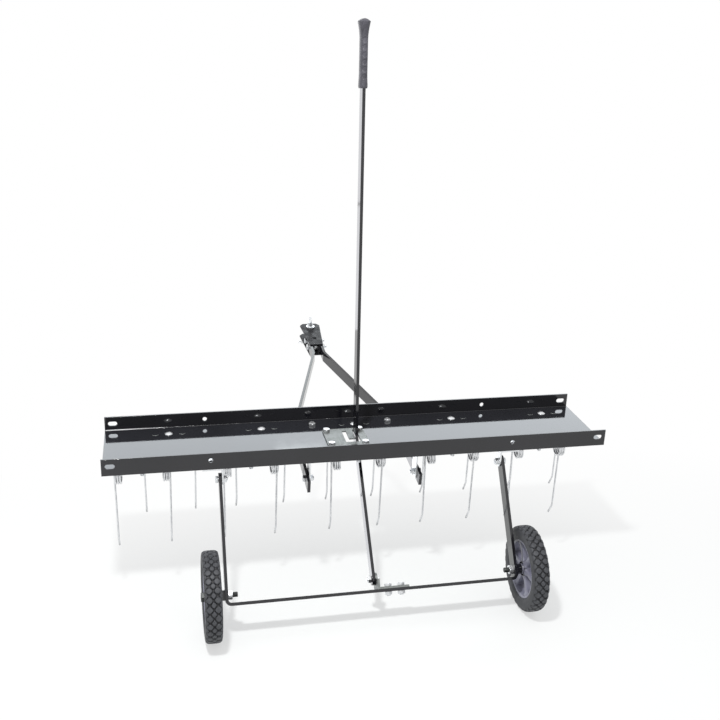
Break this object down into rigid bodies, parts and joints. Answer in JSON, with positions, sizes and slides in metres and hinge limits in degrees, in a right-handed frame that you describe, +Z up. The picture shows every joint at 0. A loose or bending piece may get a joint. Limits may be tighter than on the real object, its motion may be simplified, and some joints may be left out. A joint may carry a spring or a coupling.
{
  "type": "tow-behind dethatcher",
  "caption": "Tow-behind dethatcher: shallow weight tray over two rows of double spring tines, with a clevis drawbar and a hand lever that swings the wheel axle down to lift it.",
  "frame": {"origin": "middle of the bounding box at the ground, under the wheels", "axes": "+X to the right along the tray, +Y forward to the hitch, +Z up along the lever"},
  "size_m": [1.016, 0.9202, 1.1155],
  "materials": {
    "black_paint": "gloss black powder coat",
    "zinc": "bright zinc plate",
    "spring_wire": "zinc plated spring wire",
    "tyre": "moulded tread",
    "rim_plastic": "moulded grey plastic",
    "grip_rubber": "ribbed"
  },
  "bodies": {
    "tray": {"weight_tray": "black_paint", "front_angle": "black_paint", "rear_angle": "black_paint", "front_tine_1": "spring_wire", "front_tine_2": "spring_wire", "front_tine_3": "spring_wire", "front_tine_4": "spring_wire", "front_tine_5": "spring_wire", "rear_tine_1": "spring_wire", "rear_tine_2": "spring_wire", "rear_tine_3": "spring_wire", "rear_tine_4": "spring_wire", "rear_tine_5": "spring_wire", "tine_clips": "zinc", "tine_bolts": "zinc", "tine_nuts": "zinc", "lever_gate_plate": "zinc", "gate_bolts": "zinc", "gate_nuts": "zinc", "left_front_bracket": "zinc", "right_front_bracket": "zinc", "left_rear_bracket": "zinc", "right_rear_bracket": "zinc", "bracket_bolts": "zinc", "bracket_nuts": "zinc", "left_drawbar": "black_paint", "right_drawbar": "black_paint", "drawbar_bolts": "zinc", "drawbar_nuts": "zinc", "hitch_upper_plate": "black_paint", "hitch_lower_plate": "black_paint", "hitch_bolts": "zinc", "hitch_nuts": "zinc", "hitch_pin": "zinc", "hitch_clip": "zinc", "left_axle_hanger": "zinc", "right_axle_hanger": "zinc", "hanger_bolts": "zinc", "hanger_nuts": "zinc", "pivot_bolts": "zinc", "pivot_nuts": "zinc"},
    "axle_frame": {"axle_bar": "black_paint", "lever_bracket": "zinc", "lever_bracket_bolts": "zinc", "lever_bracket_nuts": "zinc", "lever_bolt": "zinc", "lever_nut": "zinc", "axle_bolts": "zinc", "axle_nuts": "zinc", "axle_spacers": "black_paint"},
    "lift_lever": {"lift_lever": "black_paint", "lever_grip": "grip_rubber"},
    "left_wheel": {"left_tyre": "tyre", "left_rim": "rim_plastic"},
    "right_wheel": {"right_tyre": "tyre", "right_rim": "rim_plastic"}
  },
  "joints": [
    {"name": "axle_lift", "type": "hinge", "parent": "tray", "child": "axle_frame", "pos_m": [0, -0.25122, 0.26693], "axis": [-1, 0, 0], "range_deg": [0, 40]},
    {"name": "lever_pivot", "type": "hinge", "parent": "axle_frame", "child": "lift_lever", "pos_m": [0, -0.35804, 0.08127], "axis": [1, 0, 0], "range_deg": [0, 10]},
    {"name": "left_wheel_spin", "type": "hinge", "parent": "axle_frame", "child": "left_wheel", "pos_m": [-0.315, -0.37431, 0.0858], "axis": [1, 0, 0], "continuous": true},
    {"name": "right_wheel_spin", "type": "hinge", "parent": "axle_frame", "child": "right_wheel", "pos_m": [0.315, -0.37431, 0.0858], "axis": [1, 0, 0], "continuous": true}
  ],
  "couplings": [
    {"joint": "lever_pivot", "follows": "axle_lift", "ratio": 0.25}
  ]
}
